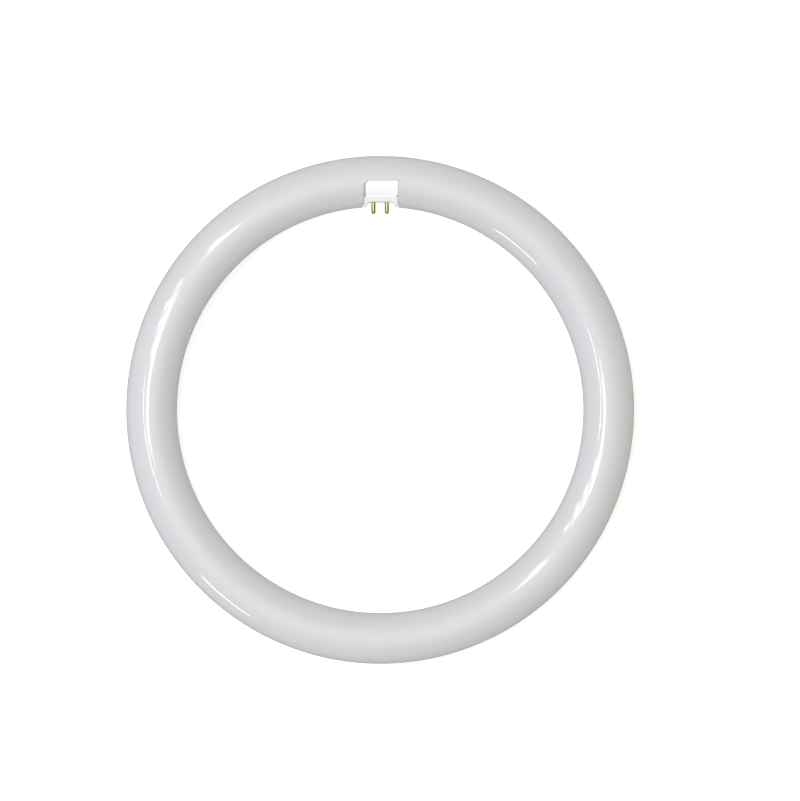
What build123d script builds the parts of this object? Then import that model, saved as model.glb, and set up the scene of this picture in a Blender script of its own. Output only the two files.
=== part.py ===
from build123d import *
import os
from math import asin, degrees, radians, sqrt, tan

# Circular LED tube, in millimetres.
# The ring lies in the XY plane with its centre at the origin. +Z is the side that gives the light.
# The base is at +Y, and its four contact pins point along -Y, to the middle of the ring.
# An angle on the ring counts clockwise from the base, seen from +Z.

# Tube and its two covers
ring_radius = 135.0  # centreline of the tube
tube_radius = 15.0
cover_wall = 1.5
lip_thickness = 0.8  # inner lip of the rear cover, inside the front cover's edge
lip_height = 2.0
lip_root = 4.0  # how far the lip reaches down inside its own wall
fit = 0.1  # gap between moulded pieces that fit together

# Contact pins, on a rectangle
pin_spacing_x = 7.92
pin_spacing_z = 6.35
pin_radius = 1.2
pin_length = 6.9  # from the pin face to the domed tip
shoulder_radius = 1.4  # inside the plate and round the solder cup
collar_radius = 1.7
collar_thickness = 0.8
cup_bore_depth = 2.0
pin_fit = 0.05

# Pin carrier, the lower piece of the base
pin_room = 0.1  # between the pins' collars and the spigot
spigot_wall = 1.0
spigot_engagement = 2.5
carrier_plate = 2.0
carrier_proud = 0.3  # past the tube's surface
carrier_step = 1.4  # the carrier stops this far short of the saddle's right side
carrier_edge = 0.4
pin_face_depth = 2.7  # from the inner outline of the tube out to the pin face
lip_line_depth = 6.3  # from the inner outline of the tube out to where the carrier meets the saddle
foot_trim = 0.1  # how far the feet stop short of the tube's inner outline
foot_thickness = 1.15
foot_flare = 0.9

# Saddle, the upper piece of the base, and its window in the tube
saddle_recess = 0.2
saddle_wall = 1.6
saddle_rise = 0.4  # top of the window past the tube's centreline
saddle_chamfer = 1.9
saddle_corner = 0.8
saddle_edge = 0.3
lead_bay = 2.2  # extra room on the saddle's right side, where the leads turn
lead_room = 3.2  # between the pins' cups and the saddle's ceiling
window_gap = 1.2  # open gap on the left of the saddle
window_chamfer = 2.3
window_flare = 0.6
flange_overlap = 2.0  # the saddle's inner flange past the window's edges
flange_thickness = 1.2

# Curved boards and their packages
board_count = 4
board_width = 14.0
board_thickness = 1.2
board_height = 1.0  # underside of the boards above the split
board_start = 20.0  # along the centreline, from the middle of the base
board_gap = 2.4
led_length = 3.5
led_width = 2.8
led_height = 0.7
led_lens_radius = 1.15
led_lens_depth = 0.12
led_pitch = 8.12
screws_past_slot = 2  # packages between the lead slot and the middle screw

# Screws, their bosses and posts
screw_radius = 1.0
screw_head_radius = 1.9
screw_head_height = 1.3
screw_length = 5.0
screw_recess_width = 0.5
screw_recess_length = 2.3
screw_recess_depth = 0.7
screw_tip_room = 0.5
screw_play = 0.2  # around a screw in a board
pilot_play = 0.05
boss_radius = 2.5
rib_thickness = 1.2
rib_reach = 8.0
rib_height = 6.0

# Driver board
driver_length = 56.0
driver_width = 14.0
driver_thickness = 1.2
driver_corner = 1.0
driver_height = -8.0  # underside of the driver board
driver_gap = 13.0  # from the first boss to the driver board, where the leads fan out
driver_screw_inset = 6.1
driver_screw_out = -4.25
pad_inset = 1.8
pin_pad_pitch = 3.0
led_pad_pitch = 6.0
hole_play = 0.1

# Driver parts: their places along and across the board from its middle, and their sizes
part_places = {
    "fuse_resistor": (-17.5, 4.6),
    "varistor": (-17.0, -2.6),
    "film_capacitor": (-9.5, -4.4),
    "bridge_rectifier": (-8.0, 2.4),
    "input_capacitor": (3.0, 3.5),
    "controller_chip": (2.0, -3.7),
    "inductor": (11.5, -3.4),
    "output_capacitor": (16.5, 3.5),
}
part_lead_radius = 0.3
part_lead_tail = 0.8  # past the underside of the board
fuse_radius = 1.25
fuse_length = 6.0
fuse_lead_span = 9.0
varistor_radius = 2.5
varistor_thickness = 2.2
varistor_lift = 0.8
varistor_lead_span = 2.5
film_length = 7.0
film_width = 3.2
film_height = 5.6
film_edge = 0.4
film_lead_span = 5.0
can_radius = 3.15
can_length = 10.0
can_edge = 0.3
can_groove_radius = 0.6
can_groove_place = 1.8  # from the can's sealed end
can_lead_span = 2.5
can_lead_reach = 1.4
inductor_radius = 3.0
inductor_height = 5.6
inductor_flange = 0.8
inductor_winding_radius = 2.5
inductor_lead_span = 4.0
rectifier_length = 4.8
rectifier_width = 3.9
rectifier_height = 2.3
rectifier_lead_pitch = 2.6
chip_length = 4.9
chip_width = 3.9
chip_height = 1.4
chip_lead_pitch = 1.27
flat_lead_reach = 1.0
flat_lead_foot = 0.7
flat_lead_thickness = 0.2
flat_lead_width = 0.45

# Leads
lead_radius = 0.6
lead_spread = 5.6  # the outer leads' distance from the split, inside the saddle
pass_inner = 6.9  # the leads' tracks past the first boss, in from the centreline
pass_outer = 4.2
pass_shift = 0.5  # how much further out the tracks are at the end of the first board
pass_upper = -1.8
pass_lower = -3.6
pad_approach = 5.5  # height over the driver board at which the leads turn down
slot_play = 0.4
slot_spread = 1.0  # half the distance between the two leads in a slot
slot_offset = 4.4  # lead slot of a curved board, out from the centreline
landing_reach = 5.5  # along a curved board from the slot to a lead's landing
wire_lift = 0.05  # between a curved board and a wire that runs along it
solder_cover = 0.25  # solder over the top of a wire
jumper_offset = 4.5
jumper_radius = 0.45
jumper_landing = 2.0

# Worked out: tube and base
inner_radius = tube_radius - cover_wall
cavity_radius = tube_radius - saddle_recess - saddle_wall
inner_outline_y = ring_radius - tube_radius
foot_tip_y = inner_outline_y + foot_trim
pin_face_y = inner_outline_y + pin_face_depth
collar_y = pin_face_y + carrier_plate
lip_line_y = inner_outline_y + lip_line_depth
window_top_y = ring_radius + saddle_rise
saddle_top_y = window_top_y - fit
ceiling_y = saddle_top_y - saddle_wall
cup_end_y = ceiling_y - lead_room
cup_floor_y = cup_end_y - cup_bore_depth
spigot_left = -(pin_spacing_x / 2 + collar_radius + pin_room + spigot_wall)
saddle_left = spigot_left - fit - saddle_wall
saddle_right = lead_bay - saddle_left
spigot_right = saddle_right - saddle_wall - fit
carrier_right = saddle_right - carrier_step
foot_left = saddle_left - foot_flare
foot_right = carrier_right + foot_flare
window_left = saddle_left - window_gap
window_right = saddle_right + fit
spigot_half_depth = sqrt(cavity_radius**2 - (ring_radius - lip_line_y) ** 2) - fit


def arc_angle(length):
    """Angle of a length along the tube's centreline, in degrees."""
    return degrees(length / ring_radius)


# Worked out: boards
base_angle = arc_angle(board_start)
gap_angle = arc_angle(board_gap)
board_angle = (360 - 2 * base_angle - (board_count - 1) * gap_angle) / board_count
board_top = board_height + board_thickness
pitch_angle = arc_angle(led_pitch)
leds_per_board = int(board_angle / pitch_angle)
board_margin = (board_angle - leds_per_board * pitch_angle) / 2
first_screw = base_angle + board_margin + pitch_angle
driver_top = driver_height + driver_thickness
driver_sag = ring_radius - sqrt(ring_radius**2 - (driver_length / 2) ** 2)
driver_offset = -driver_sag / 2
driver_half_angle = degrees(asin(driver_length / 2 / (ring_radius + driver_offset)))
driver_angle = first_screw + arc_angle(boss_radius + driver_gap) + driver_half_angle
slot_step = int((driver_angle + driver_half_angle - base_angle - board_margin) / pitch_angle) + 1
lead_tail_z = -driver_thickness - part_lead_tail


# Placing and shaping


def on_ring(angle, out=0.0, up=0.0, along=0.0):
    """A place on the ring whose X runs along the tube and Y points outwards."""
    return Rot(Z=-angle) * Pos(along, ring_radius + out, up)


def ring_point(angle, out, up, along=0.0):
    return on_ring(angle, out, up, along).position


def on_driver(along, out, up=driver_top):
    """A place on the driver board, from its middle."""
    return on_ring(driver_angle, driver_offset + out, up, along)


def box_between(low, high):
    size = [b - a for a, b in zip(low, high)]
    return Pos(*low) * Box(*size, align=(Align.MIN, Align.MIN, Align.MIN))


def column(outline):
    """A column along Z, through the whole tube, over an outline in X and Y."""
    return extrude(outline, amount=2 * tube_radius, both=True)


def full_ring(section):
    """A full ring from a section drawn with X as radius and Y as height."""
    return revolve(Plane.XZ * section, Axis.Z, 360)


def ring_segment(section, start, end):
    """Part of a ring, from one angle to another."""
    return revolve(Rot(Z=-end) * (Plane.YZ * section), Axis.Z, end - start)


def wire(points, radius):
    """A round wire of straight runs joined by tangent arcs, each as large as its runs allow."""
    points = [Vector(*point) for point in points]
    bends = []
    for before, corner, after in zip(points, points[1:], points[2:]):
        first, second = corner - before, after - corner
        half_turn = radians(first.get_angle(second)) / 2
        bends.append(0.45 * min(first.length, second.length) / tan(half_turn))
    path = FilletPolyline(*points, radius=bends)
    return sweep(Plane(points[0], z_dir=points[1] - points[0]) * Circle(radius), path)


def group(solids):
    """Like pieces that share one node, each still a solid of its own."""
    return Compound([piece.solid() for piece in solids])


# Covers


def half_wall(side):
    """Section of a cover: side is 1 for the front and -1 for the rear."""
    wall = Circle(tube_radius) - Circle(inner_radius)
    half = Pos(0, side * tube_radius / 2) * Rectangle(2 * tube_radius, tube_radius)
    return Pos(ring_radius, 0) * (wall & half)


def lip_section():
    """The rear cover's two lips, one on each side of the section."""
    lip_out = sqrt(inner_radius**2 - lip_height**2) - fit
    lip_in = lip_out - lip_thickness
    root_out = inner_radius + cover_wall / 2
    root = Pos((lip_in + root_out) / 2, -lip_root / 2) * Rectangle(root_out - lip_in, lip_root)
    edge = Pos((lip_in + lip_out) / 2, 0) * Rectangle(lip_thickness, 2 * lip_height)
    lips = root + edge + (root + edge).mirror(Plane.YZ)
    return Pos(ring_radius, 0) * (lips & Circle(tube_radius - cover_wall / 2))


def window():
    """The window through both covers, on the inner side of the tube."""
    low_y = inner_outline_y - tube_radius
    corners = [
        (window_left - window_flare, low_y),
        (window_left - window_flare, foot_tip_y),
        (window_left, lip_line_y),
        (window_left, window_top_y - window_chamfer),
        (window_left + window_chamfer, window_top_y),
        (window_right, window_top_y),
        (window_right, low_y),
    ]
    return column(make_face(Polyline(*corners, close=True)))


def front_cover():
    return full_ring(half_wall(1)) - window()


def boss(angle):
    """A boss under a curved board, with a rib across the tube."""
    height = tube_radius + board_height
    post = Pos(0, 0, board_height - height / 2) * Cylinder(boss_radius, height)
    rib = Pos(0, 0, rib_height / 2 - inner_radius) * Box(rib_thickness, 2 * rib_reach, rib_height)
    return on_ring(angle) * (post + rib)


def driver_post(along, out):
    height = tube_radius + driver_height
    return on_driver(along, out, driver_height - height / 2) * Cylinder(boss_radius, height)


def pilot_hole():
    """Hole for a screw whose head stands on Z = 0."""
    depth = screw_length + screw_tip_room
    return Pos(0, 0, -depth / 2) * Cylinder(screw_radius + pilot_play, depth)


def flange_space():
    """Where the rear cover's lip makes room for the saddle's inner flange."""
    reach = flange_overlap + fit
    space = box_between(
        (window_left - reach, inner_outline_y - tube_radius, -tube_radius),
        (window_right + reach, ring_radius, tube_radius),
    )
    return space & Torus(ring_radius, inner_radius)


def rear_cover():
    """Half shell with an inner lip, a boss for each screw of a curved board and two posts for the driver."""
    shell = full_ring(half_wall(-1) + lip_section()) - flange_space()
    posts = [boss(angle) for angle in screw_angles()]
    posts += [driver_post(*place) for place in driver_screw_places()]
    shell += Torus(ring_radius, tube_radius - cover_wall / 2) & Part() + posts
    shell -= [on_ring(angle, up=board_top) * pilot_hole() for angle in screw_angles()]
    shell -= [on_driver(*place) * pilot_hole() for place in driver_screw_places()]
    return shell - window()


# Base


def saddle_body():
    """The outer form of the saddle, with its visible edges rounded."""
    corners = [
        (saddle_left, lip_line_y),
        (saddle_left, saddle_top_y - saddle_chamfer),
        (saddle_left + saddle_chamfer, saddle_top_y),
        (saddle_right, saddle_top_y),
        (saddle_right, lip_line_y),
    ]
    outline = make_face(Polyline(*corners, close=True))
    body = Torus(ring_radius, tube_radius - saddle_recess) & column(outline)
    upright = body.edges().filter_by(Axis.Z)
    body = fillet(upright.group_by(Axis.X)[-1].sort_by(Axis.Y)[-1], saddle_corner)
    rim = body.edges().filter_by(Axis.Z, reverse=True)
    return fillet([edge for edge in rim if edge.bounding_box().max.Y > lip_line_y + fit], saddle_edge)


def saddle_flange():
    """Thin flange inside the tube's wall, round the window and down both sides of the carrier."""
    outer = inner_radius - fit
    low_y = inner_outline_y - tube_radius
    band = Torus(ring_radius, outer) - Torus(ring_radius, outer - flange_thickness)
    band &= box_between(
        (window_left - flange_overlap, low_y, -tube_radius),
        (window_right + flange_overlap, window_top_y + flange_overlap, tube_radius),
    )
    carrier_space = box_between(
        (foot_left - fit, low_y, -tube_radius),
        (foot_right + fit, lip_line_y, tube_radius),
    )
    return band - carrier_space


def base_saddle():
    """White shell in the window, open towards the carrier, with a slot for the leads on its right."""
    inside = box_between(
        (saddle_left + saddle_wall, lip_line_y - saddle_wall, -tube_radius),
        (saddle_right - saddle_wall, ceiling_y, tube_radius),
    )
    half_slot = lead_spread + lead_radius + slot_play
    lead_slot = box_between(
        (saddle_right - 2 * saddle_wall, cup_end_y, -half_slot),
        (saddle_right + saddle_wall, ceiling_y, half_slot),
    )
    return saddle_body() + saddle_flange() - (Torus(ring_radius, cavity_radius) & inside) - lead_slot


def carrier_body():
    """The outer form of the carrier: the tube's own round, cut to an outline that flares to its feet."""
    reach = 2 * tube_radius
    body = Torus(ring_radius, tube_radius + carrier_proud)
    body &= box_between((-reach, foot_tip_y, -reach), (reach, lip_line_y, reach))
    body = fillet(body.edges().filter_by(Axis.Z, reverse=True).group_by(Axis.Y)[-1], carrier_edge)
    corners = [
        (foot_left, foot_tip_y),
        (saddle_left, lip_line_y),
        (carrier_right, lip_line_y),
        (foot_right, foot_tip_y),
    ]
    return body & column(make_face(Polyline(*corners, close=True)))


def pin_channel():
    """The channel between the carrier's two feet, with the flat pin face as its floor."""
    depth = pin_face_y - foot_tip_y
    low_y = foot_tip_y - 2 * depth
    left, right = foot_left + foot_thickness, foot_right - foot_thickness
    corners = [(left, low_y), (left, pin_face_y), (right, pin_face_y), (right, low_y)]
    outline = make_face(Polyline(*corners, close=True))
    return column(fillet(outline.vertices().group_by(Axis.Y)[-1], depth))


def pin_carrier():
    """Plate with the pin holes, a lip that meets the saddle, two feet and a spigot into the saddle."""
    spigot_top = lip_line_y + spigot_engagement
    spigot = box_between(
        (spigot_left, collar_y, -spigot_half_depth),
        (spigot_right, spigot_top, spigot_half_depth),
    )
    inside_depth = spigot_half_depth - spigot_wall
    inside = box_between(
        (spigot_left + spigot_wall, collar_y, -inside_depth),
        (spigot_right - spigot_wall, spigot_top + spigot_wall, inside_depth),
    )
    pin_hole = Rot(X=90) * Cylinder(shoulder_radius + pin_fit, 4 * carrier_plate)
    holes = [Pos(x, pin_face_y, z) * pin_hole for x, z in pin_places()]
    return carrier_body() - pin_channel() + spigot - inside - holes


def pin_places():
    """The pins' places in X and Z: front left, front right, rear right, rear left."""
    x, z = pin_spacing_x / 2, pin_spacing_z / 2
    return [(-x, z), (x, z), (x, -z), (-x, -z)]


def contact_pin(x, z):
    """Turned pin: domed tip, wider shoulder in the plate, collar behind it and a solder cup."""
    tip_y = pin_face_y - pin_length
    dome_y = tip_y + pin_radius
    collar_end_y = collar_y + collar_thickness
    bore = lead_radius + pin_fit
    corners = [
        (0, tip_y),
        (0, cup_floor_y),
        (bore, cup_floor_y),
        (bore, cup_end_y),
        (shoulder_radius, cup_end_y),
        (shoulder_radius, collar_end_y),
        (collar_radius, collar_end_y),
        (collar_radius, collar_y),
        (shoulder_radius, collar_y),
        (shoulder_radius, pin_face_y),
        (pin_radius, pin_face_y),
        (pin_radius, dome_y),
    ]
    outline = Polyline(*corners) + RadiusArc((pin_radius, dome_y), (0, tip_y), pin_radius)
    return Pos(x, 0, z) * revolve(make_face(outline), Axis.Y, 360)


# Curved boards


def board_begin(index):
    return base_angle + index * (board_angle + gap_angle)


def step_angle(index, step):
    """Angle on a board after a number of packages, half way to the next one."""
    return board_begin(index) + board_margin + step * pitch_angle


def screw_steps():
    return (1, slot_step + screws_past_slot, leds_per_board - 1)


def screw_angles():
    return [step_angle(index, step) for index in range(board_count) for step in screw_steps()]


def led_board(index):
    """Curved board with three screw holes and a slot for a pair of leads."""
    begin = board_begin(index)
    section = Pos(ring_radius, board_height + board_thickness / 2) * Rectangle(board_width, board_thickness)
    board = ring_segment(section, begin, begin + board_angle)
    hole = Cylinder(screw_radius + screw_play, 3 * board_thickness)
    board -= [on_ring(step_angle(index, step), up=board_height) * hole for step in screw_steps()]
    width = 2 * (lead_radius + slot_play)
    slot = extrude(SlotOverall(width + 4 * slot_spread, width), amount=2 * board_thickness, both=True)
    return board - on_ring(step_angle(index, slot_step), slot_offset, board_height) * slot


def led_row(index):
    """The packages of one board, each with a shallow round lens."""
    package = Pos(0, 0, led_height / 2) * Box(led_length, led_width, led_height)
    package -= Pos(0, 0, led_height) * Cylinder(led_lens_radius, 2 * led_lens_depth)
    angles = [step_angle(index, step + 0.5) for step in range(leds_per_board)]
    return group(on_ring(angle, up=board_top) * package for angle in angles)


def screw():
    """Pan head screw with a cross recess, its head standing on Z = 0."""
    head = Pos(0, 0, screw_head_height / 2) * Cylinder(screw_head_radius, screw_head_height)
    head = fillet(head.edges().group_by(Axis.Z)[-1], screw_head_height / 2)
    shank = Pos(0, 0, -screw_length / 2) * Cylinder(screw_radius, screw_length)
    recess = Box(screw_recess_length, screw_recess_width, 2 * screw_recess_depth)
    recess += Box(screw_recess_width, screw_recess_length, 2 * screw_recess_depth)
    return head + shank - Pos(0, 0, screw_head_height) * recess


def board_screws():
    return group(on_ring(angle, up=board_top) * screw() for angle in screw_angles())


# Driver board and its parts. A part stands on Z = 0, and its leads go down through the board.


def driver_screw_places():
    along = driver_length / 2 - driver_screw_inset
    return [(-along, driver_screw_out), (along, driver_screw_out)]


def driver_screws():
    return group(on_driver(*place) * screw() for place in driver_screw_places())


def pin_pads():
    """Pads of the four pin leads, at the end of the driver board next to the base."""
    return [(pad_inset - driver_length / 2, (step - 1.5) * pin_pad_pitch) for step in range(4)]


def led_pads():
    """Pads of the two leads to the curved boards, at the far end."""
    return [(driver_length / 2 - pad_inset, side * led_pad_pitch / 2) for side in (1, -1)]


def lead_places(name):
    """Where a part's leads go down, from the part's own place."""
    if name in ("input_capacitor", "output_capacitor"):
        end = -(can_length / 2 + can_lead_reach)
        return [(end, -can_lead_span / 2), (end, can_lead_span / 2)]
    spans = {
        "fuse_resistor": fuse_lead_span,
        "varistor": varistor_lead_span,
        "film_capacitor": film_lead_span,
        "inductor": inductor_lead_span,
    }
    return [(side * spans[name] / 2, 0) for side in (-1, 1)] if name in spans else []


def driver_board():
    outline = fillet(Rectangle(driver_length, driver_width).vertices(), driver_corner)
    board = extrude(outline, amount=-driver_thickness)
    lead_spots = [(x + a, y + b) for name, (x, y) in part_places.items() for a, b in lead_places(name)]
    holes = {
        lead_radius + hole_play: pin_pads() + led_pads(),
        screw_radius + screw_play: driver_screw_places(),
        part_lead_radius + hole_play: lead_spots,
    }
    for radius, spots in holes.items():
        board -= [Pos(*spot) * Cylinder(radius, 4 * driver_thickness) for spot in spots]
    return on_driver(0, 0) * board


def straight_leads(name, top):
    """Straight leads from inside a part down through the board."""
    length = top - lead_tail_z
    lead = Pos(0, 0, top - length / 2) * Cylinder(part_lead_radius, length)
    return [Pos(x, y) * lead for x, y in lead_places(name)]


def fuse_resistor():
    left, right = [x for x, _ in lead_places("fuse_resistor")]
    body = Pos(0, 0, fuse_radius) * Rot(Y=90) * Cylinder(fuse_radius, fuse_length)
    body = fillet(body.edges().filter_by(GeomType.CIRCLE), fuse_radius / 3)
    route = [(left, 0, lead_tail_z), (left, 0, fuse_radius), (right, 0, fuse_radius), (right, 0, lead_tail_z)]
    return body + wire(route, part_lead_radius)


def varistor():
    middle = varistor_radius + varistor_lift
    disc = Pos(0, 0, middle) * Rot(X=90) * Cylinder(varistor_radius, varistor_thickness)
    disc = fillet(disc.edges().filter_by(GeomType.CIRCLE), varistor_thickness / 3)
    return disc + straight_leads("varistor", middle)


def film_capacitor():
    case = Pos(0, 0, film_height / 2) * Box(film_length, film_width, film_height)
    case = fillet(case.edges().filter_by(Axis.Z) + case.edges().group_by(Axis.Z)[-1], film_edge)
    return case + straight_leads("film_capacitor", film_height / 2)


def can_capacitor(name):
    """Can that lies along the board, with a groove near its sealed end and two bent leads."""
    can = Rot(Y=90) * Cylinder(can_radius, can_length)
    can = fillet(can.edges().filter_by(GeomType.CIRCLE), can_edge)
    groove = Torus(can_radius + can_groove_radius / 2, can_groove_radius)
    can -= Pos(can_groove_place - can_length / 2, 0, 0) * Rot(Y=90) * groove
    can = Pos(0, 0, can_radius) * can
    for end, out in lead_places(name):
        route = [(-can_length / 4, out, can_radius), (end, out, can_radius), (end, out, lead_tail_z)]
        can += wire(route, part_lead_radius)
    return can


def inductor():
    """Drum core on its end, wound between two flanges."""
    drum = Pos(0, 0, inductor_height / 2) * Cylinder(inductor_winding_radius, inductor_height)
    for middle in (inductor_flange / 2, inductor_height - inductor_flange / 2):
        drum += Pos(0, 0, middle) * Cylinder(inductor_radius, inductor_flange)
    return drum + straight_leads("inductor", inductor_flange)


def flat_package(length, width, height, per_side, pitch):
    """Moulded package along Y, with formed leads on its two long sides."""
    case_height = height - flat_lead_thickness
    body = Pos(0, 0, height - case_height / 2) * Box(width, length, case_height)
    riser_x = flat_lead_reach - flat_lead_foot
    knee_x = riser_x + flat_lead_thickness
    shoulder = height / 2
    foot = box_between((riser_x, 0, 0), (flat_lead_reach, flat_lead_width, flat_lead_thickness))
    riser = box_between((riser_x, 0, 0), (knee_x, flat_lead_width, shoulder))
    arm_low = (-flat_lead_thickness, 0, shoulder - flat_lead_thickness)
    arm = box_between(arm_low, (knee_x, flat_lead_width, shoulder))
    lead = Pos(width / 2, -flat_lead_width / 2, 0) * (foot + riser + arm)
    for step in range(per_side):
        row = Pos(0, (step - (per_side - 1) / 2) * pitch, 0) * lead
        body += [row, Rot(Z=180) * row]
    return body


def driver_parts():
    """Each part of the driver in its own place on the board."""
    rectifier = flat_package(rectifier_length, rectifier_width, rectifier_height, 2, rectifier_lead_pitch)
    chip = flat_package(chip_length, chip_width, chip_height, 4, chip_lead_pitch)
    parts = {
        "fuse_resistor": fuse_resistor(),
        "varistor": varistor(),
        "film_capacitor": film_capacitor(),
        "bridge_rectifier": rectifier,
        "input_capacitor": can_capacitor("input_capacitor"),
        "controller_chip": chip,
        "inductor": inductor(),
        "output_capacitor": can_capacitor("output_capacitor"),
    }
    return {name: on_driver(*part_places[name]) * part for name, part in parts.items()}


# Leads


def pin_lead(index, pad):
    """Lead from a pin's cup, out of the saddle and past the first boss, to a pad of the driver board."""
    x, z = pin_places()[index]
    left = x < 0
    spread = lead_spread if z > 0 else -lead_spread
    track = pass_upper if z > 0 else pass_lower
    reach = pass_inner if left else pass_outer
    run_y = ceiling_y - lead_radius - pin_fit if left else cup_end_y + lead_room / 2
    exit_x = saddle_right - saddle_wall / 2
    route = [(x, cup_floor_y + pin_fit, z), (x, run_y, z)]
    route += [(0, run_y, spread), (exit_x, run_y, spread)] if left else [(exit_x, run_y, z)]
    turns = [
        ring_point(base_angle, pass_shift - reach, track),
        ring_point(first_screw, -reach, track),
        on_driver(*pad, driver_top + pad_approach).position,
        on_driver(*pad, driver_height).position,
    ]
    return wire(route + [tuple(turn) for turn in turns], lead_radius)


def solder(wire_radius):
    """Dome of solder on Z = 0 that covers the end of a wire."""
    radius = wire_lift + 2 * wire_radius + solder_cover
    return Sphere(radius) & Pos(0, 0, radius) * Box(2 * radius, 2 * radius, 2 * radius)


def led_lead(pad, side):
    """Lead from the far end of the driver board, up through the first curved board's slot and along its top."""
    slot = step_angle(0, slot_step)
    offset = side * slot_spread
    landing = side * (slot_spread + landing_reach)
    top = board_top + wire_lift + lead_radius
    route = [
        on_driver(*pad, driver_height).position,
        on_driver(*pad, driver_top + pad_approach / 2).position,
        ring_point(slot, slot_offset, pass_upper, offset),
        ring_point(slot, slot_offset, top, offset),
        ring_point(slot, slot_offset, top, landing),
    ]
    joint = on_ring(slot, slot_offset, board_top, landing) * solder(lead_radius)
    return wire([tuple(point) for point in route], lead_radius) + joint


def board_jumpers():
    """Short wires that join each curved board to the next, two across each gap."""
    half = board_gap / 2 + jumper_landing
    jumper = Pos(0, 0, wire_lift + jumper_radius) * Rot(Y=90) * Cylinder(jumper_radius, 2 * half)
    jumper += [Pos(end, 0, 0) * solder(jumper_radius) for end in (-half, half)]
    gaps = [board_begin(index) - gap_angle / 2 for index in range(1, board_count)]
    offsets = (-jumper_offset, jumper_offset)
    return group(on_ring(angle, out, board_top) * jumper for angle in gaps for out in offsets)


def make_parts():
    parts = {
        "front_cover": front_cover(),
        "rear_cover": rear_cover(),
        "base_saddle": base_saddle(),
        "pin_carrier": pin_carrier(),
        "driver_board": driver_board(),
        "driver_screws": driver_screws(),
        "board_screws": board_screws(),
        "board_jumpers": board_jumpers(),
    }
    parts.update(driver_parts())
    # The leads on the inner tracks end at the inner pads, so that none crosses another.
    pads = [pin_pads()[step] for step in (1, 3, 2, 0)]
    for index, place in enumerate(pin_places()):
        parts[f"contact_pin_{index + 1}"] = contact_pin(*place)
        parts[f"pin_lead_{index + 1}"] = pin_lead(index, pads[index])
    for index in range(board_count):
        parts[f"led_board_{index + 1}"] = led_board(index)
        parts[f"leds_{index + 1}"] = led_row(index)
    near_pad, far_pad = led_pads()
    parts["led_lead_negative"] = led_lead(near_pad, -1)
    parts["led_lead_positive"] = led_lead(far_pad, 1)
    return parts


os.makedirs("parts", exist_ok=True)
for name, part in make_parts().items():
    export_step(part, f"parts/{name}.step")
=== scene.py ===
"""The look of a circular LED tube: milky covers, white base, brass pins, boards and driver."""

import math

import bmesh
import bpy
from bpy.props import FloatProperty, FloatVectorProperty, PointerProperty
from mathutils import Matrix, Vector


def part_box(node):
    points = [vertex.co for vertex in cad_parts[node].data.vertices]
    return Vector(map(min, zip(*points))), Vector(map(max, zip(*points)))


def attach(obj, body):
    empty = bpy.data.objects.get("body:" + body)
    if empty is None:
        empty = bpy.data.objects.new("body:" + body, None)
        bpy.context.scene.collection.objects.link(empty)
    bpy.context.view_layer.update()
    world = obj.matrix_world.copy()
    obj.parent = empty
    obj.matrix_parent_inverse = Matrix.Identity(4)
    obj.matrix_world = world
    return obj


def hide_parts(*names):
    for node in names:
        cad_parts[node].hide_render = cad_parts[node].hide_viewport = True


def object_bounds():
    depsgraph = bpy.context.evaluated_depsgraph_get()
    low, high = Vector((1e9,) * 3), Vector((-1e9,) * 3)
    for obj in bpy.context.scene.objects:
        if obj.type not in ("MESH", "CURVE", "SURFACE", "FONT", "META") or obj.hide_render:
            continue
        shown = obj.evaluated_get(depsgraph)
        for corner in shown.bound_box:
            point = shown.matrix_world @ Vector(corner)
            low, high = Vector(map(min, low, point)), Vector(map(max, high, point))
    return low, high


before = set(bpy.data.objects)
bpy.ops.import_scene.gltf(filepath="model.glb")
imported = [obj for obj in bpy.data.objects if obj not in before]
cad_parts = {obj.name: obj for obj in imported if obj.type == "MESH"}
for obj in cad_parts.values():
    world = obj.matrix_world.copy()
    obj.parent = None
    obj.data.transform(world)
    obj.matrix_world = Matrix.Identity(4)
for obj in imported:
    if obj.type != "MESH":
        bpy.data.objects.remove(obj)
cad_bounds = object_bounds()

bl_info = {
    "name": "Circular LED Tube",
    "version": (1, 0, 0),
    "blender": (4, 5, 0),
    "location": "3D View > Sidebar > LED Tube",
    "description": "Models the covers and pins of a ring-shaped LED tube and finishes its other pieces",
    "category": "Object",
}

MM = 0.001
MICRON = 0.000001
CLOSE = 0.01 * MM  # places nearer than this count as one
WELD = 2 * MICRON  # points nearer than this are merged
SCREW_GAP = 0.02  # least angle between two screws, in radians
SHARP = 1.0  # a pin's edges that turn by more than this, in radians, are rounded
FACING = 0.9  # a face whose normal has more than this along an axis looks that way
UPWARD = 0.5  # a surface whose direction has more than this along Z is a top
RING_SEGMENTS = 288
TUBE_SEGMENTS = 96
POST_SEGMENTS = 40
PIN_SEGMENTS = 48
TIP_SEGMENTS = 10
TIP_ROUNDING = 0.98  # share of a pin's radius that its dome takes
WHITE = (1, 1, 1, 1)
BODY = "root"
ring_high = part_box("front_cover")[1]


# Settings


def length(name, description, default):
    return FloatProperty(
        name=name,
        description=description,
        default=default,
        min=0.0,
        unit="LENGTH",
        subtype="DISTANCE",
        precision=5,
    )


def colour(name, description, default):
    return FloatVectorProperty(
        name=name, description=description, default=default, size=3, min=0.0, max=1.0, subtype="COLOR"
    )


def amount(name, description, default):
    return FloatProperty(name=name, description=description, default=default, min=0.0)


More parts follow.
